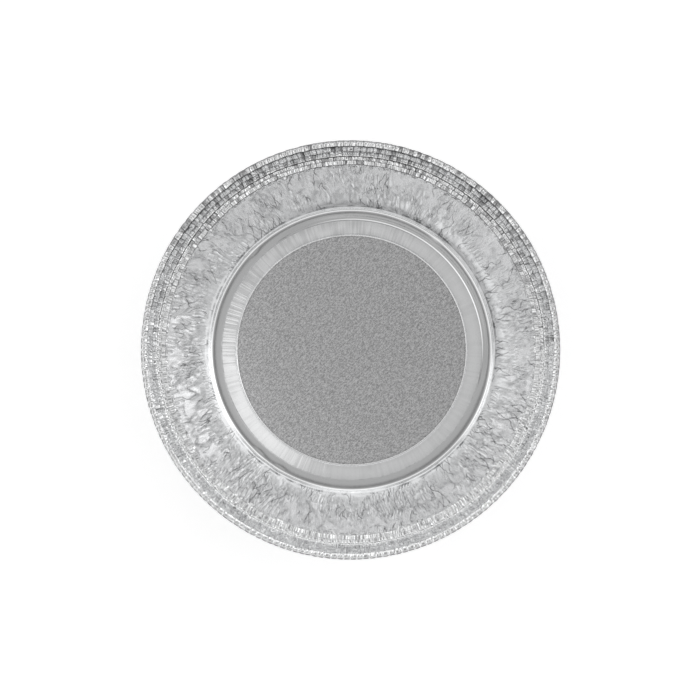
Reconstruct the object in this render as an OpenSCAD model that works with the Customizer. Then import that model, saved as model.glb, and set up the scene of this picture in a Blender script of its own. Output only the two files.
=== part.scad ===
// Round take-away pan, pressed from one disc of aluminium foil.
// The foil runs from a raised centre panel, down a bevel to the ring that stands on the table,
// round the heel, up a pleated wall, out over a ledge that seats a board lid, up a flared lip
// and round a rolled edge. All of it is one sheet, so all of it is one solid.

/* [Pan] */
// Diameter over the rolled edge
rim_d = 184; // [180:1:200]
// Diameter at the top of the wall, where the ledge starts
mouth_d = 164; // [150:1:166]
// Diameter at the heel, where the wall meets the base
base_d = 132; // [126:1:140]
// Height from the table to the top of the rolled edge
pan_h = 44; // [30:1:60]
// Thickness of the foil
foil_t = 0.12; // [0.1:0.01:0.2]

/* [Base] */
// Diameter of the raised centre panel
panel_d = 107.6; // [90:0.2:110]
// Rise of the centre panel above the ring that stands on the table
panel_h = 1.4; // [0.5:0.1:3]
// Width of the bevel between the panel and the ring
bevel_w = 7.2; // [5:0.1:8]
// Bend radius at the two edges of the bevel
bevel_bend_r = 3; // [1:0.5:5]
// Bend radius at the heel
heel_bend_r = 2; // [1:0.1:3]

/* [Rim] */
// Width of the ledge that a board lid rests on
ledge_w = 3.8; // [3:0.1:5]
// Height of the rim's top above the ledge
lip_h = 6; // [4.5:0.1:8]
// Bend radius where the wall meets the ledge, and where the ledge meets the lip
ledge_bend_r = 1; // [0.6:0.1:1.4]
// Diameter of the rolled edge, seen in section
roll_d = 2.8; // [2:0.1:3.2]
// How far round the edge is rolled, in degrees
roll_turn = 300; // [240:5:310]

/* [Pleats] */
// Number of pleats round the wall
pleats = 110; // [60:1:115]
// Depth of the deepest pleats in the wall, from ridge to valley
pleat_depth = 1.3; // [0.4:0.1:1.8]
// Depth of the deepest crimps in the ledge and the lip
crimp_depth = 0.5; // [0.2:0.1:0.7]
// Shallowest pleat, as a share of the deepest
pleat_least = 0.25; // [0.1:0.05:1]
// Depth of the pleats just above the heel, as a share of their depth at the top of the wall
pleat_foot = 0.6; // [0.2:0.05:1]
// Sideways wander of a fold, as a share of the pitch between folds
fold_wander = 0.3; // [0:0.05:0.4]

/* [Hidden] */
$fn = 180;
foil = "silver";
bend_steps = 6;             // straight steps in a bend
roll_steps = 24;            // straight steps round the rolled edge
wall_rows = 5;              // rows of facets up the pleated wall
folds = 2 * pleats;         // a ridge and a valley to each pleat
chance = 11;                // which of the possible wrinkle patterns is pressed
seam_in = 0.2;              // how far a pleated end reaches into the plain foil that carries it
seam_out = 0.15;            // how far outside the plain foil it has its full thickness again
seam_t = 0.3;               // thickness of the end that reaches in, as a share of the foil
seam = seam_in + 0.1;       // straight stretch of the plain foil at a seam
crimp_end = 0.75;           // how far below the rolled edge the lip's crimps run out

// The centre of the foil's thickness, as [radius, height] at each corner of the section
panel_edge = [panel_d / 2, panel_h + foil_t / 2];
bevel_foot = [panel_d / 2 + bevel_w, foil_t / 2];
heel = [base_d / 2, foil_t / 2];
wall_top = [mouth_d / 2, pan_h - lip_h - foil_t / 2];
ledge_edge = wall_top + [ledge_w, 0];
roll_r = (roll_d - foil_t) / 2;
roll_centre = [(rim_d - roll_d) / 2, pan_h - roll_d / 2];

// The lip is the straight line from the ledge that touches the roll's circle on its inner side
to_roll = roll_centre - ledge_edge;
lip_angle = bearing(to_roll) + asin(roll_r / norm(to_roll));
lip_top = ledge_edge + sqrt(to_roll * to_roll - roll_r * roll_r) * heading(lip_angle);

function heading(angle) = [cos(angle), sin(angle)];
function bearing(v) = atan2(v.y, v.x);
function unit(v) = v / norm(v);
function left_of(v) = [-v.y, v.x];
function along(a, b, length) = a + length * unit(b - a);

// Points round an arc about a centre, from one bearing through a turn
function arc(centre, radius, from, turn, steps) =
    [for (i = [0:steps]) centre + radius * heading(from + turn * i / steps)];

// The arc that rounds the corner b of the line a, b, c
function bend(a, b, c, radius, steps) =
    let (u = unit(a - b), v = unit(c - b), half = acos(u * v) / 2)
    let (start = b + u * radius / tan(half), centre = b + unit(u + v) * radius / sin(half))
    arc(centre, radius, bearing(start - centre), sign(cross(-u, v)) * (180 - 2 * half), steps);

// Sideways step at point i of a path that makes a foil one unit thick on each side of it
function side(path, i) =
    let (last = len(path) - 1)
    let (before = left_of(unit(path[max(i, 1)] - path[max(i, 1) - 1])))
    let (after = left_of(unit(path[min(i, last - 1) + 1] - path[min(i, last - 1)])))
    (before + after) / (1 + before * after);

// Outline of plain foil along a path
function foil_outline(path) = concat(
    [for (i = [0:len(path) - 1]) path[i] + side(path, i) * foil_t / 2],
    [for (i = [len(path) - 1:-1:0]) path[i] - side(path, i) * foil_t / 2]
);

heel_bend = bend(bevel_foot, heel, wall_top, heel_bend_r, bend_steps);
wall_foot = heel_bend[bend_steps];
shoulder_bend = bend(heel, wall_top, ledge_edge, ledge_bend_r, 1);
seat_bend = bend(wall_top, ledge_edge, lip_top, ledge_bend_r, 1);

// Panel, bevel, standing ring and heel: plain, round and smooth
base_path = concat(
    [[0, panel_edge.y]],
    bend([0, panel_edge.y], panel_edge, bevel_foot, bevel_bend_r, bend_steps),
    bend(panel_edge, bevel_foot, heel, bevel_bend_r, bend_steps),
    heel_bend,
    [along(wall_foot, wall_top, seam)]
);

// Rolled edge: leaves the lip, turns outwards and down, and ends under itself
roll_path = concat(
    [along(lip_top, ledge_edge, seam)],
    arc(roll_centre, roll_r, lip_angle + 90, -roll_turn, roll_steps)
);

// Pleated wall, ledge and lip. Each row is [point, foil thickness share, pleat depth]
wall_start = along(wall_foot, wall_top, seam + seam_out);
wall_span = shoulder_bend[0] - wall_start;
pleat_rows = concat(
    [[along(wall_foot, wall_top, seam - seam_in), seam_t, 0], [wall_start, 1, 0]],
    [for (k = [1:wall_rows - 1])
        let (up = k / wall_rows, share = pleat_foot + (1 - pleat_foot) * up)
        [wall_start + wall_span * up, 1, pleat_depth * share]],
    [[shoulder_bend[0], 1, (pleat_depth + crimp_depth) / 2], [shoulder_bend[1], 1, crimp_depth]],
    [for (p = seat_bend) [p, 1, crimp_depth]],
    [[along(lip_top, ledge_edge, crimp_end), 1, crimp_depth]],
    [[along(lip_top, ledge_edge, seam + seam_out), 1, 0]],
    [[along(lip_top, ledge_edge, seam - seam_in), seam_t, 0]]
);
pleat_path = [for (row = pleat_rows) row[0]];
last_row = len(pleat_rows) - 1;

swing = rands(pleat_least, 1, folds * (last_row + 1), chance);
wander = rands(-fold_wander, fold_wander, folds * (last_row + 1), chance + 1);

// Vertex of the pleated foil: row i, fold j, on the inner face (1) or the outer face (-1)
function pleat_point(i, j, face) =
    let (depth = pleat_rows[i][2], n = i * folds + j)
    let (push = depth / 2 * swing[n] * (j % 2 == 0 ? 1 : -1))
    let (p = pleat_path[i] + side(pleat_path, i) * (push + face * pleat_rows[i][1] * foil_t / 2))
    let (angle = 360 / folds * (j + (depth > 0 ? wander[n] : 0)))
    [p.x * cos(angle), p.x * sin(angle), p.y];

module foil_base() {
    rotate_extrude() polygon(foil_outline(base_path));
}

module rolled_edge() {
    rotate_extrude() polygon(foil_outline(roll_path));
}

module pleated_wall() {
    layer = folds * (last_row + 1);
    function at(i, j, face) = (face > 0 ? 0 : layer) + i * folds + j % folds;
    function facets(a, b, c, d) = [[a, b, c], [a, c, d]];
    // Neighbouring facets are cut along opposite diagonals, so the folds zigzag
    function patch(i, j, face) =
        let (a = at(i, j, face), b = at(i, j + 1, face), c = at(i + 1, j + 1, face), d = at(i + 1, j, face))
        let (q = (i + j) % 2 == 0 ? [a, b, c, d] : [b, c, d, a])
        face > 0 ? facets(q[0], q[1], q[2], q[3]) : facets(q[0], q[3], q[2], q[1]);
    function edge(i, j) =
        let (a = at(i, j, 1), b = at(i, j, -1), c = at(i, j + 1, -1), d = at(i, j + 1, 1))
        i == 0 ? facets(d, a, b, c) : facets(a, d, c, b);
    polyhedron(
        points = [for (face = [1, -1], i = [0:last_row], j = [0:folds - 1]) pleat_point(i, j, face)],
        faces = [
            for (face = [1, -1], i = [0:last_row - 1], j = [0:folds - 1]) each patch(i, j, face),
            for (i = [0, last_row], j = [0:folds - 1]) each edge(i, j)
        ]
    );
}

module foil_pan() {
    color(foil) {
        foil_base();
        pleated_wall();
        rolled_edge();
    }
}

foil_pan();
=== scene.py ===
# %% [markdown]
# # A round foil take-away pan
# The pan is one disc of thin aluminium foil, pressed between two dies. A flat disc that becomes a
# bowl has foil to spare round its edge, so the wall gathers it in hundreds of small folds that the
# press squeezes flat, and the rim has the same folds as crimps. Polished foil has almost no colour
# of its own: what shows is the room, mirrored by every fold. So this lesson spends its effort on
# the shape of the folds, on two finishes of the same metal, and on a room that is worth mirroring.

# %% Load the frame
import math

import bpy
import numpy as np
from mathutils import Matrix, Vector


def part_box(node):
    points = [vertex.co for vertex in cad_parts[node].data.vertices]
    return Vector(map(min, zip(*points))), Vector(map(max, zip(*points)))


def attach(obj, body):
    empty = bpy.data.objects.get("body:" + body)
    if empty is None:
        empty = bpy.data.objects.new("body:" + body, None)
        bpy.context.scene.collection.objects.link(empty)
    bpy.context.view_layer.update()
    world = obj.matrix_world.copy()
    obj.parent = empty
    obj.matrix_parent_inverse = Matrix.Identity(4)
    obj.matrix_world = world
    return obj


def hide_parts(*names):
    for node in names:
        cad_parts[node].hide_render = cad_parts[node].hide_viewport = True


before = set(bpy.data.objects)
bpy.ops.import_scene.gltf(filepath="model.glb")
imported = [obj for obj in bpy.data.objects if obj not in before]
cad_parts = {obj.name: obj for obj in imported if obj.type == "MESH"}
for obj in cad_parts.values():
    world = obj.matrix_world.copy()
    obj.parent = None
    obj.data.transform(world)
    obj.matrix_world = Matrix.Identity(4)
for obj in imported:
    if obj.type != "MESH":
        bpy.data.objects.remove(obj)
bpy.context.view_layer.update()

low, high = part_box("foil_pan")
print("The solid pan's box, in mm:", [round(1000 * c, 2) for c in (*low, *high)])

# %% [markdown]
# ## The sizes of the pan
# The outer size comes from the frame. Everything else is a driving size of the press tool, in
# metres. The section is a line of corners, from the middle of the base out to the rim, and each
# corner is rounded by its bend radius.

# %% Sizes
MM = 0.001
RIM_R = high[0]                     # outside of the rolled edge
PAN_H = high[2]                     # top of the rolled edge above the table
FOIL = 0.12 * MM                    # thickness of the foil
PANEL_R = 53.8 * MM                 # edge of the raised centre panel
PANEL_H = 1.4 * MM                  # rise of the panel above the standing ring
BEVEL_W = 7.2 * MM                  # width of the bevel round the panel
BEVEL_BEND = 3.0 * MM               # bend radius at both edges of the bevel
BASE_R = 66.0 * MM                  # corner of the heel
HEEL_BEND = 2.0 * MM                # bend radius of the heel
MOUTH_R = 82.0 * MM                 # top of the wall
LEDGE_W = 3.8 * MM                  # width of the ledge that takes a board lid
LIP_H = 6.0 * MM                    # height of the rim above the ledge
LEDGE_BEND = 1.0 * MM               # bend radius at both edges of the ledge
ROLL_D = 2.8 * MM                   # diameter of the rolled edge, seen in section
ROLL_TURN = math.radians(300)       # how far round the edge is rolled
COLUMNS = 768                       # steps round the pan
print(f"{2000 * RIM_R:.1f} mm over the rim, {2000 * BASE_R:.1f} mm at the heel, {1000 * PAN_H:.1f} mm high")

# %% [markdown]
# ## The section of the pan
# A pressed pan is round, so one section line carried round the axis gives the whole sheet. The
# straight stretches get a few rows and the bends get more. The wall gets the most, because it
# has the folds. Each row keeps its distance along the foil, which the folds and the finish use
# later in place of a height.

# %% Section helpers
def unit(v):
    """The vector divided by its own length."""
    return v / np.linalg.norm(v)


def arc(centre, radius, start, turn, steps):
    """centre + radius * (cos a, sin a), for a from start to start + turn in equal steps."""
    a = start + turn * np.linspace(0, 1, steps + 1)
    return centre + radius * np.stack([np.cos(a), np.sin(a)], axis=1)


def bend(a, b, c, radius, steps):
    """The arc that rounds corner b of the line a, b, c. It leaves each leg at radius / tan(h) from
    the corner, where h is half of the corner's angle."""
    u, v = unit(a - b), unit(c - b)
    half = math.acos(u @ v) / 2
    start = b + u * radius / math.tan(half)
    centre = b + unit(u + v) * radius / math.sin(half)
    bearing = math.atan2(*(start - centre)[::-1])
    side = np.sign(-u[0] * v[1] + u[1] * v[0])
    return arc(centre, radius, bearing, side * (math.pi - 2 * half), steps)


def between(a, b, rows):
    """Points evenly spaced from a to b, without either end."""
    t = np.linspace(0, 1, rows + 2)[1:-1, None]
    return a + (b - a) * t


# %% Corners of the section
middle = np.array([0.0, PANEL_H + FOIL / 2])
panel_edge = np.array([PANEL_R, PANEL_H + FOIL / 2])
bevel_foot = np.array([PANEL_R + BEVEL_W, FOIL / 2])
heel = np.array([BASE_R, FOIL / 2])
wall_top = np.array([MOUTH_R, PAN_H - LIP_H - FOIL / 2])
ledge_edge = wall_top + [LEDGE_W, 0]

# The lip is the straight line from the ledge that touches the roll's circle on its inner side
roll_r = (ROLL_D - FOIL) / 2
roll_centre = np.array([RIM_R - ROLL_D / 2, PAN_H - ROLL_D / 2])
to_roll = roll_centre - ledge_edge
lip_angle = math.atan2(to_roll[1], to_roll[0]) + math.asin(roll_r / np.linalg.norm(to_roll))
lip_len = math.sqrt(to_roll @ to_roll - roll_r**2)
lip_top = ledge_edge + lip_len * np.array([math.cos(lip_angle), math.sin(lip_angle)])
lip_lean = 90 - math.degrees(lip_angle)
print(f"the lip is {1000 * lip_len:.1f} mm long and leans {lip_lean:.0f} degrees outwards")

# %% The section line
panel_bend = bend(middle, panel_edge, bevel_foot, BEVEL_BEND, 2)
foot_bend = bend(panel_edge, bevel_foot, heel, BEVEL_BEND, 2)
heel_bend = bend(bevel_foot, heel, wall_top, HEEL_BEND, 5)
shoulder = bend(heel, wall_top, ledge_edge, LEDGE_BEND, 2)
seat = bend(wall_top, ledge_edge, lip_top, LEDGE_BEND, 2)
roll = arc(roll_centre, roll_r, lip_angle + math.pi / 2, -ROLL_TURN, 11)

stretches = {
    "panel": between(middle, panel_bend[0], 2),
    "panel_bend": panel_bend,
    "bevel": between(panel_bend[-1], foot_bend[0], 2),
    "foot_bend": foot_bend,
    "ring": between(foot_bend[-1], heel_bend[0], 1),
    "heel": heel_bend,
    "wall": between(heel_bend[-1], shoulder[0], 22),
    "shoulder": shoulder,
    "ledge": between(shoulder[-1], seat[0], 2),
    "seat": seat,
    "lip": between(seat[-1], roll[0], 4),
    "roll": roll,
}
section = np.concatenate(list(stretches.values()))
zone = np.repeat(list(stretches), [len(points) for points in stretches.values()])
run = np.concatenate([[np.linalg.norm(section[0] - middle)],
                      np.linalg.norm(np.diff(section, axis=0), axis=1)]).cumsum()
ROWS = len(section)
print(f"{ROWS} rows of {COLUMNS}, {1000 * run[-1]:.1f} mm of foil from the middle to the end of the roll")

# %% Places along the foil
def run_at(name, end=0):
    """Distance along the foil at the first row (end 0) or the last row (end -1) of a stretch."""
    return run[np.flatnonzero(zone == name)[end]]


def run_mid(name):
    """Distance along the foil half way between a stretch's first and last rows."""
    return (run_at(name) + run_at(name, -1)) / 2


heel_run, mouth_run = run_at("heel", -1), run_at("shoulder")
seat_run, roll_run = run_at("seat"), run_at("roll")
wall_len = mouth_run - heel_run
print(f"the wall is {1000 * wall_len:.1f} mm of foil for {1000 * (MOUTH_R - BASE_R):.1f} mm of reach")

# %% [markdown]
# ## Chance, and where it applies
# Pressed foil is never regular, but it isn't noise either: the press squeezes some stretches
# flatter than others. Independent random numbers for each point would look like sand. So the
# random numbers sit on a coarse lattice and are blended between its points, which gives a field
# that changes smoothly. Two more helpers say over which stretch of the foil a pattern applies.

# %% Random fields and masks
dice = np.random.default_rng(7)
angle = np.linspace(0, 2 * math.pi, COLUMNS, endpoint=False)[None, :]
reach = run[:, None]


def field(cells, length):
    """A smooth random field from -1 to 1: random values on a lattice of cells round the pan by
    steps of length along the foil, blended between lattice points by the curve 3t^2 - 2t^3."""
    rings = int(run[-1] / length) + 3
    values = dice.uniform(-1, 1, (rings, cells))
    u = angle / (2 * math.pi) * cells
    v = np.clip(reach / length, 0, rings - 1.001)
    i, j = v.astype(int), u.astype(int)
    fv, fu = v - i, u - j
    fv, fu = fv * fv * (3 - 2 * fv), fu * fu * (3 - 2 * fu)
    k = (j + 1) % cells
    near = values[i, j % cells] * (1 - fu) + values[i, k] * fu
    far = values[i + 1, j % cells] * (1 - fu) + values[i + 1, k] * fu
    return near * (1 - fv) + far * fv


def rise(x, start, end):
    """0 below start, 1 above end, and the curve 3t^2 - 2t^3 between."""
    t = np.clip((x - start) / (end - start), 0, 1)
    return t * t * (3 - 2 * t)


def within(start, full, fading, end):
    """0 before start along the foil, 1 from full to fading, and 0 past end."""
    return rise(reach, start, full) * (1 - rise(reach, fading, end))


print(f"{COLUMNS} angles by {ROWS} distances: a random field has {ROWS * COLUMNS} numbers")

# %% [markdown]
# ## The folds in the wall
# A fold in pressed foil is a long, thin leaf: it has a sharp ridge down the middle, and it fades
# to nothing at both ends and both sides. Most run up the wall, some lean left or right, and
# where two that lean meet they make a V. Drawing them one at a time would take a day. Instead
# each leaf is a row of random numbers, and one formula adds them all to the wall at once. Two
# sizes of leaf and a run of shallow pleats under them give the wall its coarse and fine folds.

# %% Leaves
def leaves(count, start, end, length, width, depth, lean, curl):
    """The sum of count leaves between two distances along the foil. Length, width and depth each
    give a lowest and a highest value, and lean and curl the most either way. In a leaf's own axes,
    a along it and b across it, its ridge is the curve b = curl * a^2 / length, and its half-width
    is w = width * (1 - (a / length)^2). Its height, of either sign, is
    depth * sqrt(w / width) * (1 - |b - curl * a^2 / length| / w), so it has a sharp ridge and a
    pointed outline."""
    def pick(lowest, highest):
        return dice.uniform(lowest, highest, count)[:, None, None]

    centre, at = pick(0, 2 * math.pi), pick(start, end)
    half_len, half_wid, height, turn = pick(*length), pick(*width), pick(*depth), pick(-lean, lean)
    height = height * dice.choice([-1, 1], (count, 1, 1))
    rows = (run > start - max(length)) & (run < end + max(length))
    x = (angle[None] - centre + math.pi) % (2 * math.pi) - math.pi
    x, y = x * section[rows, 0][None, :, None], run[rows][None, :, None] - at
    a, b = y * np.cos(turn) + x * np.sin(turn), x * np.cos(turn) - y * np.sin(turn)
    b = b - pick(-curl, curl) * a**2 / half_len
    w = half_wid * np.clip(1 - (a / half_len) ** 2, 1e-4, 1)
    out = np.zeros((ROWS, COLUMNS))
    out[rows] = (height * np.clip(1 - np.abs(b) / w, 0, 1) * np.sqrt(w / half_wid)).sum(axis=0)
    return out


busy = 0.8 + 0.3 * field(9, 20 * MM)
long_leaves = leaves(200, heel_run + 9 * MM, mouth_run - 5 * MM, length=(6 * MM, 13 * MM),
                     width=(1.4 * MM, 3.0 * MM), depth=(0.4 * MM, 1.05 * MM),
                     lean=math.radians(17), curl=0.5)
short_leaves = leaves(420, heel_run + 6 * MM, mouth_run, length=(2.5 * MM, 6 * MM),
                      width=(0.9 * MM, 1.9 * MM), depth=(0.2 * MM, 0.55 * MM),
                      lean=math.radians(30), curl=0.7)
print(f"leaves reach {1000 * np.abs(long_leaves).max():.2f} and {1000 * np.abs(short_leaves).max():.2f} mm")

# %% Pleats
PLEATS = 104                        # pleats round the wall


def triangle(x):
    """A zigzag between -1 and 1 that repeats each time x grows by 1."""
    return 4 * np.abs(x - np.floor(x + 0.5)) - 1


phase = PLEATS * angle / (2 * math.pi) + 0.55 * field(60, 9 * MM) + 0.5 * field(21, 18 * MM)
pleats = 0.3 * MM * triangle(phase) * (0.6 + 0.5 * field(40, 12 * MM))
in_wall = rise(reach, heel_run + 0.5 * MM, heel_run + 9 * MM)
in_wall = in_wall * (1 - 0.4 * rise(reach, mouth_run - 2 * MM, mouth_run))
wall_folds = in_wall * busy * (long_leaves + short_leaves + pleats)
print(f"wall folds reach {1000 * np.abs(wall_folds).max():.2f} mm from the plain wall")

# %% [markdown]
# ## Crimps and notches in the rim
# The ledge and the lip hold the tightest folds, because the disc shrinks most there. The press
# flattens them into small blocks, so the ledge steps up and down instead of waving. The rolled
# edge shows only the ends of the folds, as fine notches.

# %% Rim crimps
LEDGE_CRIMPS, LIP_CRIMPS, NOTCHES = 164, 171, 178      # how many there are round the pan


def blocks(count, wander, sharpness):
    """Steps up and down round the pan, between -1 and 1:
    tanh(sharpness * sin(count * angle + 2 pi wander)) / tanh(sharpness)."""
    return np.tanh(sharpness * np.sin(count * angle + 2 * math.pi * wander)) / math.tanh(sharpness)


ledge_crimps = 0.13 * MM * blocks(LEDGE_CRIMPS, 0.5 * field(50, 8 * MM), 1.6)
ledge_crimps = ledge_crimps * (0.7 + 0.45 * field(60, 4 * MM))
lip_crimps = 0.11 * MM * blocks(LIP_CRIMPS, 0.6 * field(46, 6 * MM), 1.2)
lip_crimps = lip_crimps * (0.7 + 0.5 * field(70, 3 * MM))
rim_dents = 0.14 * MM * field(120, 3.2 * MM) + 0.06 * MM * field(220, 2.4 * MM)
notches = np.clip(np.sin(NOTCHES * angle + 5 * field(70, 40 * MM)), 0, 1) ** 4
notches = -0.09 * MM * notches * (0.6 + 0.6 * field(90, 40 * MM))

in_ledge = within(mouth_run - 2 * MM, mouth_run + 0.6 * MM, seat_run - 0.3 * MM, seat_run + 1.5 * MM)
in_lip = within(seat_run + 0.2 * MM, seat_run + 1.6 * MM, roll_run - 0.5 * MM, roll_run + 0.8 * MM)
in_roll = rise(reach, roll_run - 0.8 * MM, roll_run + 0.5 * MM)
rim_folds = in_ledge * (ledge_crimps + rim_dents) + in_lip * (lip_crimps + rim_dents) + in_roll * notches
print(f"rim crimps reach {1000 * np.abs(rim_folds).max():.2f} mm")

# %% [markdown]
# ## Dents
# A pan this thin is never perfect. Where stacked pans were pulled apart, the heel has short
# dents that catch the light, and the press leaves faint radial flutes on the bevel. Each dent is
# a smooth bump of its own width round the pan and along the foil.

# %% Dents
HEEL_DENTS = [(239, 0.10), (228, 0.12), (135, 0.10), (52, 0.14)]    # angle in degrees, depth in mm
BEVEL_DENTS = [(279, 0.16), (258, 0.16)]
FLUTED = math.radians(142)          # where round the pan the flutes are deepest


def dent(degrees, at, wide, long, depth):
    """A smooth bump at an angle and a distance along the foil, where x and y are the distances
    from it round the pan and along the foil: depth * exp(-(x / wide)^2 - (y / long)^2)."""
    x = (angle - math.radians(degrees) + math.pi) % (2 * math.pi) - math.pi
    return depth * np.exp(-(x * section[:, :1] / wide) ** 2 - ((reach - at) / long) ** 2)


heel_at, bevel_at = run_mid("heel") - 0.6 * MM, run_mid("bevel")
dents = sum(dent(degrees, heel_at, 3.0 * MM, 0.9 * MM, depth * MM) for degrees, depth in HEEL_DENTS)
dents = dents + sum(dent(degrees, bevel_at, 1.3 * MM, 1.3 * MM, depth * MM)
                    for degrees, depth in BEVEL_DENTS)
on_bevel = within(run_at("panel_bend", -1), bevel_at, bevel_at, run_at("foot_bend"))
fluted = 0.2 + 0.8 * np.clip(np.cos(angle - FLUTED), 0, 1) ** 2
flutes = on_bevel * fluted * 0.09 * MM * (field(230, 30 * MM) + 0.6 * field(90, 30 * MM))
print(f"dents reach {1000 * dents.max():.2f} mm and flutes {1000 * np.abs(flutes).max():.2f} mm")

# %% [markdown]
# ## From a line to a sheet
# The folds push the foil along the section's own normal, to the inside where they are positive.
# The sheet then gets its thickness: half of it goes to the inside and half to the outside, along
# the normal of the folded surface. A Solidify modifier could do that, but two grids of the same
# rows and columns make it easy to give both sides the same attributes later.

# %% Sheet
def section_normals(points):
    """Unit normals of the section line, to the inside of the pan: its direction turned a quarter
    to the left."""
    d = np.gradient(points, axis=0)
    d /= np.linalg.norm(d, axis=1, keepdims=True)
    return np.stack([-d[:, 1], d[:, 0]], axis=1)


def surface_normals(grid):
    """Unit normals of a grid that closes round the pan: the step along the foil crossed with the
    step round it."""
    round_step = np.roll(grid, -1, axis=1) - np.roll(grid, 1, axis=1)
    along_step = np.gradient(grid, axis=0)
    n = np.cross(along_step, round_step)
    return n / np.linalg.norm(n, axis=2, keepdims=True)


push = wall_folds + rim_folds + dents + flutes
normals = section_normals(section)
radius = section[:, :1] + push * normals[:, :1]
height = section[:, 1:] + push * normals[:, 1:]
sheet = np.stack([radius * np.cos(angle), radius * np.sin(angle), height], axis=2)

# At the middle the normals have to point up, into the pan, and the rest of the sheet follows
facing = surface_normals(sheet)
facing *= np.sign(facing[0, 0, 2])
inner = sheet + facing * FOIL / 2
outer = sheet - facing * FOIL / 2

# No fold reaches past the solid's box
for side in (inner, outer):
    far = np.hypot(side[..., 0], side[..., 1])
    side[..., :2] *= np.minimum(1, RIM_R / far)[..., None]
    side[..., 2] = np.clip(side[..., 2], 0, PAN_H)
across, tall = 1000 * np.ptp(outer[..., 0]), 1000 * np.ptp(inner[..., 2])
print(f"the outer side is {across:.2f} mm across, and the inner side {tall:.2f} mm high")

# %% [markdown]
# ## From a sheet to a mesh
# Both sides are grids, so their faces follow from row and column numbers alone. A strip of quads
# joins the two at the end of the roll, and at the middle each side closes with a fan of triangles
# round one more point. The result is one closed skin that faces outwards.

# %% Mesh
def pan_mesh(inner, outer):
    """One closed mesh of both sides. Point i * COLUMNS + j is row i, column j of the inner side,
    and the outer side's points follow in the same order. The last two points are the middles."""
    layer = ROWS * COLUMNS
    i, j = np.meshgrid(np.arange(ROWS - 1), np.arange(COLUMNS), indexing="ij")
    k = (j + 1) % COLUMNS
    here, onward = i * COLUMNS, (i + 1) * COLUMNS
    quads = np.stack([here + j, onward + j, onward + k, here + k], axis=-1).reshape(-1, 4)
    j = np.arange(COLUMNS)
    k = (j + 1) % COLUMNS
    last = (ROWS - 1) * COLUMNS
    strip = np.stack([last + j, layer + last + j, layer + last + k, last + k], axis=-1)
    fan_inner = np.stack([np.full(COLUMNS, 2 * layer), j, k], axis=-1)
    fan_outer = np.stack([np.full(COLUMNS, 2 * layer + 1), layer + k, layer + j], axis=-1)
    middles = [[0, 0, inner[0, 0, 2]], [0, 0, outer[0, 0, 2]]]
    points = np.concatenate([inner.reshape(-1, 3), outer.reshape(-1, 3), middles])
    parts = [quads, quads[:, ::-1] + layer, strip, fan_inner, fan_outer]
    faces = [face for part in parts for face in part.tolist()]
    mesh = bpy.data.meshes.new("pan_foil")
    mesh.from_pydata(points.tolist(), [], faces)
    mesh.shade_smooth()
    return mesh


mesh = pan_mesh(inner, outer)
pan = bpy.data.objects.new("pan_foil", mesh)
bpy.context.collection.objects.link(pan)
print(f"{len(mesh.polygons)} faces, {sum(len(p.vertices) - 2 for p in mesh.polygons)} triangles")

# %% [markdown]
# ## Where the finish changes
# The centre panel is satin, the wall is pleated, the rim is crimped, and the rest is plain and
# bright. A position in space says that badly on a folded sheet, so the mesh keeps six attributes.
# One is a point's place on the foil as if it were a plain tube, which patterns follow. The others
# are numbers from 0 to 1: how satin, folded and crimped the foil is there, whether it is under
# the rolled edge, and how sharply it is creased.

# %% Attributes
GRAIN_R = 80 * MM                   # radius of the tube that patterns are laid on
DRAWN = 0.3                         # below 1, so that patterns are drawn out along the foil
FULL_CREASE = 0.35 * MM             # bend of push between columns that counts as a full crease


def keep(name, values, middle=0.0):
    """Keeps a number for each point of the sheet as an attribute, the same on both sides. Numbers
    by row are spread round the pan, and the two points at the middle take a number of their own."""
    grid = np.broadcast_to(values, (ROWS, COLUMNS)).ravel()
    data = np.concatenate([grid, grid, [middle, middle]]).astype(np.float32)
    mesh.attributes.new(name, "FLOAT", "POINT").data.foreach_set("value", data)


def keep_place(name):
    """Keeps each point's place on a tube of GRAIN_R, with the distance along the foil, times
    DRAWN, as its height."""
    tube = np.broadcast_arrays(GRAIN_R * np.cos(angle), GRAIN_R * np.sin(angle), DRAWN * reach)
    place = np.stack(tube, axis=2).reshape(-1, 3)
    data = np.concatenate([place, place, np.zeros((2, 3))]).astype(np.float32)
    mesh.attributes.new(name, "FLOAT_VECTOR", "POINT").data.foreach_set("vector", data.ravel())


keep_place("place")
keep("satin", 1 - rise(reach, run_at("panel_bend"), run_at("panel_bend", -1)), 1.0)
keep("folded", rise(reach, heel_run + 0.5 * MM, heel_run + 5 * MM))
keep("crimped", rise(reach, mouth_run - 0.8 * MM, mouth_run + 0.4 * MM))
# The last two only place painted shade: on the outside and underside of the rolled edge, and in the wall's
# creases
keep("under", rise(reach, roll_run + 2.0 * MM, roll_run + 2.5 * MM))
bending = np.roll(push, 1, axis=1) + np.roll(push, -1, axis=1) - 2 * push
keep("crease", np.clip(np.abs(bending / FULL_CREASE), 0, 1))
print("attributes:", sorted(a.name for a in mesh.attributes if not a.is_internal))

# %% [markdown]
# ## Shader maths as Python
# A material is a network of nodes. Written as plain sums it is easier to read, so one small class
# wraps a socket: an expression on it adds the Math nodes, and one method adds any other node.

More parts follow.
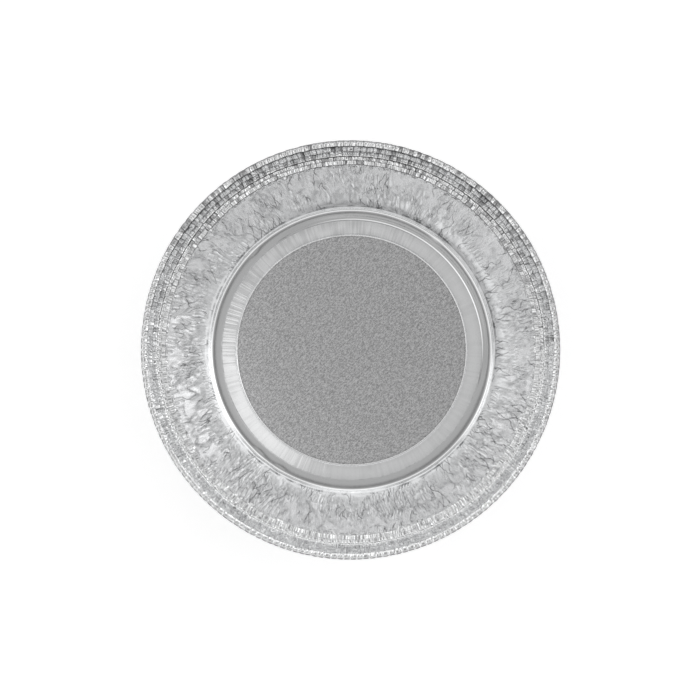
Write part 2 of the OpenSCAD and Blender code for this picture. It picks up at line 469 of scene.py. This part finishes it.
# %% Sockets
class Socket:
    """A node's output. Arithmetic on it adds Math nodes to its tree."""

    def __init__(self, tree, output):
        self.tree, self.output = tree, output

    def node(self, kind, settings, inputs, output=0):
        """Adds a node of a kind: sets its settings, then fills or links its sockets by name or number."""
        new = self.tree.nodes.new(kind)
        for name, value in settings.items():
            if name == "stops":
                self.set_stops(new.color_ramp.elements, value)
            else:
                setattr(new, name, value)
        for key, value in inputs.items():
            if isinstance(value, Socket):
                self.tree.links.new(value.output, new.inputs[key])
            else:
                new.inputs[key].default_value = value
        return Socket(self.tree, new.outputs[output] if new.outputs else None)

    @staticmethod
    def set_stops(elements, stops):
        """Gives a ramp its stops, each a place from 0 to 1 and a grey."""
        while len(elements) < len(stops):
            elements.new(1)
        for element, (place, grey) in zip(elements, stops):
            element.position, element.color = place, (grey, grey, grey, 1)

    def maths(self, operation, *values):
        """A Math node of this operation on these values."""
        return self.node("ShaderNodeMath", {"operation": operation}, dict(enumerate(values)))

    def __add__(self, other):
        return self.maths("ADD", self, other)

    def __sub__(self, other):
        return self.maths("SUBTRACT", self, other)

    def __rsub__(self, other):
        return self.maths("SUBTRACT", other, self)

    def __mul__(self, other):
        if isinstance(other, tuple):
            return self.node("ShaderNodeVectorMath", {"operation": "MULTIPLY"}, {0: self, 1: other})
        return self.maths("MULTIPLY", self, other)

    def __pow__(self, other):
        return self.maths("POWER", self, other)

    __radd__, __rmul__ = __add__, __mul__

    def along(self, direction):
        """How far this vector points along a direction."""
        vectors = {0: self, 1: direction}
        return self.node("ShaderNodeVectorMath", {"operation": "DOT_PRODUCT"}, vectors, "Value")

    def rise(self, start, end):
        """0 below start, 1 above end, smooth between."""
        limits = {"Value": self, "From Min": start, "From Max": end}
        return self.node("ShaderNodeMapRange", {"interpolation_type": "SMOOTHSTEP"}, limits)

    def size(self):
        """This number without its sign."""
        return self.maths("ABSOLUTE", self)

    def whole(self):
        """The whole number below this one."""
        return self.maths("FLOOR", self)

    def zigzag(self):
        """0 at each whole number, 1 half way between, and straight lines from one to the other."""
        return 2 * self.maths("PINGPONG", self, 0.5)

    def noise(self, scale, detail=2.0, roughness=0.5):
        """A noise from 0 to 1 at this place, with scale blobs to the metre."""
        inputs = {"Vector": self, "Scale": scale, "Detail": detail, "Roughness": roughness}
        return self.node("ShaderNodeTexNoise", {}, inputs)


# %% Tree helpers
def start_tree(owner):
    """An empty node tree on a material or world, wrapped so that nodes can be added to it."""
    owner.use_nodes = True
    owner.node_tree.nodes.clear()
    return Socket(owner.node_tree, None)


def blend(tree, factor, a, b):
    """The colour a where the factor is 0 and b where it is 1."""
    return tree.node("ShaderNodeMix", {"data_type": "RGBA"}, {0: factor, 6: a, 7: b}, 2)


def attribute(tree, name, output):
    """An attribute of the mesh: Fac for a number, Vector for a place."""
    return tree.node("ShaderNodeAttribute", {"attribute_name": name}, {}, output)


def heading(degrees):
    """The level direction at an angle round the pan, (cos, sin, 0)."""
    return (math.cos(math.radians(degrees)), math.sin(math.radians(degrees)), 0)


# %% [markdown]
# ## The foil's two finishes
# Foil is rolled in pairs, so one face is bright and the other satin, and pressing polishes it
# further. Both are the same metal. The bright finish is nearly a mirror with a little haze. The
# satin of the centre panel has a wider blur and a fine grain of darker and lighter specks, which
# is why the panel looks even and grey from above while the wall sparkles. Each zone of the pan
# has a function of its own, which says how high its fine relief is and how much shade is painted
# into its colour, and the foil material adds them up. They all read the same few sockets, so
# these come first.

# %% Places for the finish
SHADED = heading(55)                # the side where the foot of the wall is darkest


class Foil:
    """The sockets that say where on the sheet a point lies."""

    def __init__(self, tree):
        self.tree = tree
        self.spot = tree.node("ShaderNodeTexCoord", {}, {}, "Object")
        self.place = attribute(tree, "place", "Vector")
        self.run = self.place.along((0, 0, 1 / DRAWN))
        turn = tree.maths("ARCTAN2", self.spot.along((0, 1, 0)), self.spot.along((1, 0, 0)))
        self.around = turn * (0.5 / math.pi)
        self.satin, self.crimped = attribute(tree, "satin", "Fac"), attribute(tree, "crimped", "Fac")
        self.crease, self.under = attribute(tree, "crease", "Fac"), attribute(tree, "under", "Fac")
        self.wall = attribute(tree, "folded", "Fac") * (1 - self.crimped)
        self.shaded = self.spot.along(SHADED).rise(-0.6 * BASE_R, BASE_R)
        self.crinkle = self.place.noise(300, 1.0)

    def line(self, at, half):
        """1 on a ring at a distance along the foil, 0 where it is half away."""
        return 1 - (self.run - at).size().rise(0, half)


# %% [markdown]
# ## Grain of the panel
# The satin panel has a fine grain, drawn out a little the way the foil was rolled. Two noises
# make it: one even, and one that is squeezed to a quarter across the rolling direction.

# %% Panel grain
ROLLED, ACROSS = (0.7, 0.7, 0), (0.7, -0.7, 0)         # along and across the way the foil was rolled


def panel_grain(foil):
    """The panel's grain from 0 to 1: an even noise and one drawn out along ROLLED."""
    squeezed = {"X": foil.spot.along(ROLLED), "Y": 4 * foil.spot.along(ACROSS)}
    rolled = foil.tree.node("ShaderNodeCombineXYZ", {}, squeezed)
    return 0.6 * foil.spot.noise(1500, 2.0, 0.6) + 0.4 * rolled.noise(420, 2.0, 0.6)


# %% [markdown]
# ## Fine lines of the wall
# Between the leaves the wall has lines finer than the mesh can carry: pleats about 1.6 mm apart
# that come in clusters, and a few sharp creases that lean to both sides. A zigzag of the angle
# round the pan gives both, bent by a noise so that no line is straight. The creases wind round
# the pan as they climb. Seen from above the wall is foreshortened, so how fast they wind is
# worked out from the lean that should show there.

# %% Wall finish
FINE_PLEATS, CREASES = 290, 130     # how many there are round the wall
CREASE_LEAN = math.radians(25)      # lean of a crease seen from above
crease_pitch = math.pi * (MOUTH_R + BASE_R) / CREASES

# Pitches that a crease winds round the pan for each metre of foil
WIND = math.tan(CREASE_LEAN) * (MOUTH_R - BASE_R) / wall_len / crease_pitch


def wall_finish(foil):
    """The wall's fine relief, and the shade painted into its valleys and creases."""
    spot, place = foil.spot, foil.place
    pleat = (foil.around * FINE_PLEATS + 3 * spot.noise(60, 1.0)).zigzag()
    cluster = spot.noise(80, 1.0).rise(0.48, 0.58) * place.noise(550, 0.0).rise(0.35, 0.50)
    few = place.noise(170, 1.0).rise(0.54, 0.60)
    bent = 2 * spot.noise(80, 1.0)
    left, right = ((foil.around * CREASES + foil.run * wind + bent).zigzag() for wind in (-WIND, WIND))
    sharp = few * ((1 - left.rise(0, 0.2)) + (1 - right.rise(0, 0.2)))
    relief = foil.crinkle * 0.3 + place.noise(260, 0.0) * 3 + pleat * (0.08 + cluster) + sharp * 0.6
    # Painted shade in the pleats' valleys, in the sharp creases and where the mesh is creased
    painted_shade = (0.02 + 0.4 * cluster) * (1 - pleat).rise(0.65, 1.0) + sharp * 0.45 + foil.crease * 0.35
    return foil.wall * relief, foil.wall * painted_shade


print(f"a crease winds {WIND * wall_len:.1f} pitches round the pan on its way up the wall")

# %% [markdown]
# ## The grid of the rim
# Under the press the rim's crimps are squeezed into a grid: rings that run round the pan, crossed
# by short ticks, with a small flat facet in each cell that leans its own way. That is a brick
# pattern on two coordinates, the angle round the pan and the way up the rim. Each brick's number
# feeds a white noise, which gives it a lean and a shade of its own. One row of bars covers the
# ledge and one the lip, and smaller bricks lie over both.

# %% Bricks
ROW_SHIFT = 0.37                    # how far each row is shifted, in bricks


def bricks(foil, up, count, wobble):
    """Bricks, count to the turn and one to each whole step of up. With u and v from 0 to 1 across
    a brick, its tilt is t_u * u + t_v * v, where t_u and t_v are chance from -0.5 to 0.5. Ticks are
    (2u - 1)^4 and rings are (2v - 1)^4, which are 1 at its edges, and its shade is chance too."""
    v = up + foil.spot.noise(90, 1.0) * wobble
    u = foil.around * count + v.whole() * ROW_SHIFT + foil.spot.noise(150, 2.0) * (6 * wobble)
    number = foil.tree.node("ShaderNodeCombineXYZ", {}, {"X": u.whole(), "Y": v.whole()})
    chance = foil.tree.node("ShaderNodeTexWhiteNoise", {}, {"Vector": number}, "Color")
    t_u, t_v, shade = (chance.along(axis) for axis in ((1, 0, 0), (0, 1, 0), (0, 0, 1)))
    u, v = u - u.whole(), v - v.whole()
    ticks, rings = (((2 * w - 1) * (2 * w - 1)) ** 2 for w in (u, v))
    return (t_u - 0.5) * u + (t_v - 0.5) * v, ticks, rings, shade


# %% Rim finish
BARS, BRICKS = 200, 330             # bars and smaller bricks round the rim
shoulder_run, bend_run = run_mid("shoulder"), run_mid("seat")


def rim_finish(foil):
    """The rim's fine relief, the shade painted into its colour, and the gaps between bars. Up is 0 at
    the shoulder, 1 at the bend between ledge and lip, and 2 at the roll."""
    ledge_up = (foil.run - shoulder_run) * (1 / (bend_run - shoulder_run))
    lip_up = (foil.run - bend_run) * (1 / (roll_run - bend_run))
    up = foil.tree.maths("MINIMUM", ledge_up, 1) + foil.tree.maths("MAXIMUM", lip_up, 0)
    bar_tilt, bar_ticks, bar_rings, bar_shade = bricks(foil, up, BARS, 0.08)
    tilt, ticks, rings, shade = bricks(foil, up * 2, BRICKS, 0.15)
    upper = foil.spot.along((0, 1, 0)).rise(-0.2 * RIM_R, 0.8 * RIM_R)
    relief = bar_tilt * 3.4 + tilt * 3.0 + (bar_rings * 1.2 + rings * 0.7) * (0.5 + 0.5 * upper)
    relief = relief + bar_ticks * 0.8 + ticks * 0.5

    # Painted shade: towards +Y the lines are dark and some bricks too. Elsewhere each cell gets a
    # random grey, which leaves the lines between them light, as painted glints on the crimps' edges
    lines = bar_rings.rise(0.60, 0.95) * 0.4 + rings.rise(0.60, 0.95) * 0.2
    lines = lines + (bar_ticks + ticks).rise(0.60, 0.95) * 0.2
    cells = (1 - (bar_ticks + bar_rings).rise(0.15, 0.50)) * (0.05 + 0.25 * bar_shade)
    painted_shade = (shade.rise(0.60, 0.90) * 0.6 + lines * 2.2) * upper + cells * (1 - upper)
    # Painted shade on the outer part of the rolled edge, most towards SHADED
    outside = (foil.run - roll_run).rise(1 * MM, 2.2 * MM) * foil.shaded
    return foil.crimped * relief, foil.crimped * painted_shade + outside * 0.45, bar_ticks.rise(0.10, 0.30)


# %% [markdown]
# ## Beads and streaks of the base
# The press draws the foil tight over the bevel, which leaves a thin bead round the panel and, on
# one side, a broader one at the bevel's foot, and it rubs faint streaks in between. The streaks'
# darker colour, strongest towards STREAKED, is a painted reflection of the wall's folds. The foot
# of the wall gets painted shade, most of all on the side of the broader bead, and so do a thin
# ring where the heel starts and one just inside the bead. The bead and the heel's line are rings
# at a distance along the foil, and the streaks are a noise drawn out so far along the foil that
# it runs radially.

# %% Bevel and heel finish
STREAKED = heading(135)             # the side where the bevel is streaked most
bead_run, foot_bead_run = run_at("panel_bend", -1), run_at("foot_bend")


def bevel_finish(foil):
    """The relief of the beads and streaks, the streaks' painted reflection and the painted shade inside the
    bead.
    """
    past_foot = foil.run - foot_bead_run
    foot_bead = past_foot.rise(0.2 * MM, 1.2 * MM) * (1 - past_foot.rise(1.2 * MM, 3.5 * MM))
    foot_bead = foot_bead * foil.spot.along(SHADED).rise(0.2 * BASE_R, 0.9 * BASE_R)
    bevel = (1 - foil.satin) * (1 - past_foot.rise(0, 0.5 * MM))
    streaked = foil.spot.along(STREAKED).rise(-0.1 * PANEL_R, 0.8 * PANEL_R)
    streak = 0.6 * (foil.place * (1, 1, 0.2)).noise(600, 2.0) + 0.4 * foil.spot.noise(130, 1.0)
    relief = foil.line(bead_run, 0.6 * MM) * 0.8 + foot_bead * 1.1 + bevel * streak * (0.3 + streaked) * 0.8
    # Painted reflection of the wall's folds in the darker streaks, and painted shade just inside the bead
    painted_shade = bevel * streak.rise(0.42, 0.62) * (0.06 + 0.14 * streaked)
    return relief, painted_shade + foil.line(bead_run - 0.9 * MM, 0.5 * MM) * 0.2


def heel_shade(foil):
    """Painted shade on the foot of the wall, most on the SHADED side, with a dark line where the heel
    starts.
    """
    past_heel = foil.run - heel_run
    foot = past_heel.rise(0, 2 * MM) * (1 - past_heel.rise(2.5 * MM, 11 * MM))
    return foot * (0.04 + 0.56 * foil.shaded) + foil.line(run_at("heel") + 0.4 * MM, 0.8 * MM) * 0.25


# %% Foil
BUMP = 0.3 * MM                     # height of a relief of 1
BRIGHT = (0.93, 0.935, 0.94, 1)
SATIN, SPECKLE = (0.51, 0.51, 0.515, 1), (0.97, 0.97, 0.975, 1)    # the panel and its lighter grains
# Painted shade: the first grey for valleys, creases, rim lines, bevel streaks and the wall's foot, the
# second under the roll
SHADE_PAINT, UNDER_SHADE = (0.18, 0.18, 0.183, 1), (0.22, 0.22, 0.223, 1)       # valleys, and under the rolled edge


def foil_material():
    """Bright foil with a satin panel: one metal, whose relief goes to a Bump node and whose painted
    shade is mixed into its colour."""
    material = bpy.data.materials.new("pressed_foil")
    tree = start_tree(material)
    foil = Foil(tree)
    satin, bright = foil.satin, 1 - foil.satin
    grain = panel_grain(foil)
    wall_relief, wall_shade = wall_finish(foil)
    rim_relief, rim_shade, gaps = rim_finish(foil)
    bevel_relief, bevel_shade = bevel_finish(foil)

    relief = satin * grain * 0.22 + bright * foil.crinkle * 0.06 + wall_relief + rim_relief + bevel_relief
    bump = tree.node("ShaderNodeBump", {}, {"Strength": 1.0, "Distance": BUMP, "Height": relief})
    haze = 0.10 + 0.08 * foil.spot.noise(90, 2.0) + 0.03 * foil.wall
    roughness = satin * (0.22 + 0.10 * grain) + bright * haze

    tint = blend(tree, satin, BRIGHT, SATIN)
    tint = blend(tree, satin * grain.rise(0.35, 0.65), tint, SPECKLE)
    # Painted shade from every zone, then painted shade on the outside of the rolled edge, broken into
    # dashes by the gaps between bars
    tint = blend(tree, wall_shade + rim_shade + bevel_shade + heel_shade(foil), tint, SHADE_PAINT)
    tint = blend(tree, foil.under * (1 - 0.6 * gaps), tint, UNDER_SHADE)
    shader = tree.node("ShaderNodeBsdfPrincipled", {}, {"Base Color": tint, "Metallic": 1.0,
                                                        "Roughness": roughness, "Normal": bump})
    tree.node("ShaderNodeOutputMaterial", {}, {"Surface": shader})
    return material


pan.data.materials.append(foil_material())
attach(pan, "root")
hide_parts("foil_pan")
print(f"the foil has {len(pan.active_material.node_tree.nodes)} nodes")

# %% [markdown]
# ## The room
# A mirror shows its room, so the light is a room and not a set of lamps. How bright it is depends
# on the angle from straight up: a small dark spot right above, as a camera over the pan makes, a
# grey ceiling round it, and a bright band further down that ends above the level. Softboxes add
# light from a few sides. The ring that the pan stands on is level and mirrors the grey ceiling,
# the bevel mirrors the start of the bright band, and a fold that leans picks up the band itself
# or a softbox. To the camera the room is plain white all over, and so is its foot to mirror and
# glass rays, like a white backdrop. Other rays don't see that white, so it puts no more light on
# anything matt.

# %% Light and backdrop
SKY = [  # angle from straight up in degrees, and how bright the room is there
    (0, 0.10), (2, 0.10), (3.5, 0.42), (8, 0.42), (12, 0.37), (20, 0.42), (25, 0.52), (32, 0.66),
    (45, 0.90), (62, 1.0), (68, 0.30), (80, 0.15), (90, 0.15),
]
SOFTBOXES = [  # azimuth, elevation and half-width in degrees, and how much light each adds
    (25, 34, 17, 0.20),
    (205, 62, 12, 0.32),
    (15, 12, 18, 1.0),
    (160, 14, 14, 0.8),
    (90, 14, 12, 0.7),
]
EDGE = 9                            # soft edge of a softbox, in degrees
BACKDROP = 85.5 / 90                # tilt past which mirrors see white: 0 is straight up, 1 is level
BACKDROP_EDGE = 0.02                # soft upper edge of that white, as a tilt


def ray_masks(tree):
    """Two masks for a ray: 1 where it comes from the camera, and 1 where it was mirrored or went
    through glass."""
    camera, glossy, through = (tree.node("ShaderNodeLightPath", {}, {}, f"Is {kind} Ray")
                               for kind in ("Camera", "Glossy", "Transmission"))
    return camera, glossy + through


def softbox(ray, azimuth, elevation, half):
    """1 where a ray points within half of the softbox's middle, 0 from EDGE past that."""
    a, e = math.radians(azimuth), math.radians(elevation)
    towards = ray.along((math.cos(a) * math.cos(e), math.sin(a) * math.cos(e), math.sin(e)))
    return towards.rise(math.cos(math.radians(half + EDGE)), math.cos(math.radians(half)))


# %% World
def studio():
    """The room as a world: SKY and SOFTBOXES are its light, and the backdrop's white lies over them
    for the rays that look at it."""
    world = bpy.data.worlds.new("studio")
    tree = start_tree(world)
    ray = tree.node("ShaderNodeTexCoord", {}, {}, "Generated")
    tilt = tree.maths("ARCCOSINE", ray.along((0, 0, 1))) * (2 / math.pi)
    stops = [(degrees / 90, grey) for degrees, grey in SKY]
    light = tree.node("ShaderNodeValToRGB", {"stops": stops}, {"Fac": tilt}).along((1 / 3, 1 / 3, 1 / 3))
    for azimuth, elevation, half, strength in SOFTBOXES:
        light = light + strength * softbox(ray, azimuth, elevation, half)
    camera, mirrored = ray_masks(tree)
    backdrop = tree.maths("MAXIMUM", camera, mirrored * tilt.rise(BACKDROP - BACKDROP_EDGE, BACKDROP))
    light = light * (1 - backdrop) + backdrop
    shader = tree.node("ShaderNodeBackground", {}, {"Color": (1, 1, 1, 1), "Strength": light})
    tree.node("ShaderNodeOutputWorld", {}, {"Surface": shader})
    return world


bpy.context.scene.world = studio()
print(f"a room of {len(SKY)} levels and {len(SOFTBOXES)} softboxes")

# %% [markdown]
# ## The floor
# The floor is plain and pale and keeps the pan's shadow. Part of its white is its own light, for
# camera, mirror and glass rays alone, so that it stays white in the picture and in the foil
# without more light on the pan. It lies a hair under the pan, so that the two never share a plane.

# %% Floor
FLOOR_HALF, FLOOR_Z = 4.0, -0.1 * MM
PAINT = (0.85, 0.85, 0.85, 1)
GLOW = 0.45                         # the floor's own light


def floor():
    """A square of pale paint that glows for the rays that look at it."""
    corners = [(x * FLOOR_HALF, y * FLOOR_HALF, FLOOR_Z) for x, y in ((-1, -1), (1, -1), (1, 1), (-1, 1))]
    mesh = bpy.data.meshes.new("floor")
    mesh.from_pydata(corners, [], [(0, 1, 2, 3)])
    material = bpy.data.materials.new("pale_floor")
    tree = start_tree(material)
    camera, mirrored = ray_masks(tree)
    seen = tree.maths("MAXIMUM", camera, mirrored)
    paint = tree.node("ShaderNodeBsdfDiffuse", {}, {"Color": PAINT})
    glow = tree.node("ShaderNodeEmission", {}, {"Color": (1, 1, 1, 1), "Strength": seen * GLOW})
    shader = tree.node("ShaderNodeAddShader", {}, {0: paint, 1: glow})
    tree.node("ShaderNodeOutputMaterial", {}, {"Surface": shader})
    mesh.materials.append(material)
    obj = bpy.data.objects.new("floor", mesh)
    bpy.context.collection.objects.link(obj)
    return obj


floor()

# %% [markdown]
# ## The camera
# The picture is taken from straight above, 0.6 m over the rim. The camera stands a little to one
# side of the axis and looks at the middle of the mouth. Its lens follows from how wide a view it
# has at the height of the rim.

# %% Camera
CAMERA_AT = (9.6 * MM, 0.0, 0.644)
VIEW_W = 0.30625                    # width of the photograph at the height of the rim
SENSOR = 36                         # width of the camera's sensor, in millimetres
above_rim = CAMERA_AT[2] - PAN_H
camera_data = bpy.data.cameras.new("camera")
camera_data.sensor_width = SENSOR
camera_data.lens = SENSOR * above_rim / VIEW_W
camera = bpy.data.objects.new("camera", camera_data)
bpy.context.collection.objects.link(camera)
camera.location = CAMERA_AT
camera.rotation_euler = (0, math.atan2(CAMERA_AT[0], above_rim), 0)
bpy.context.scene.camera = camera
bpy.context.scene.view_settings.view_transform = "Standard"
print(f"a lens of {camera_data.lens:.1f} mm, {1000 * above_rim:.0f} mm above the rim")
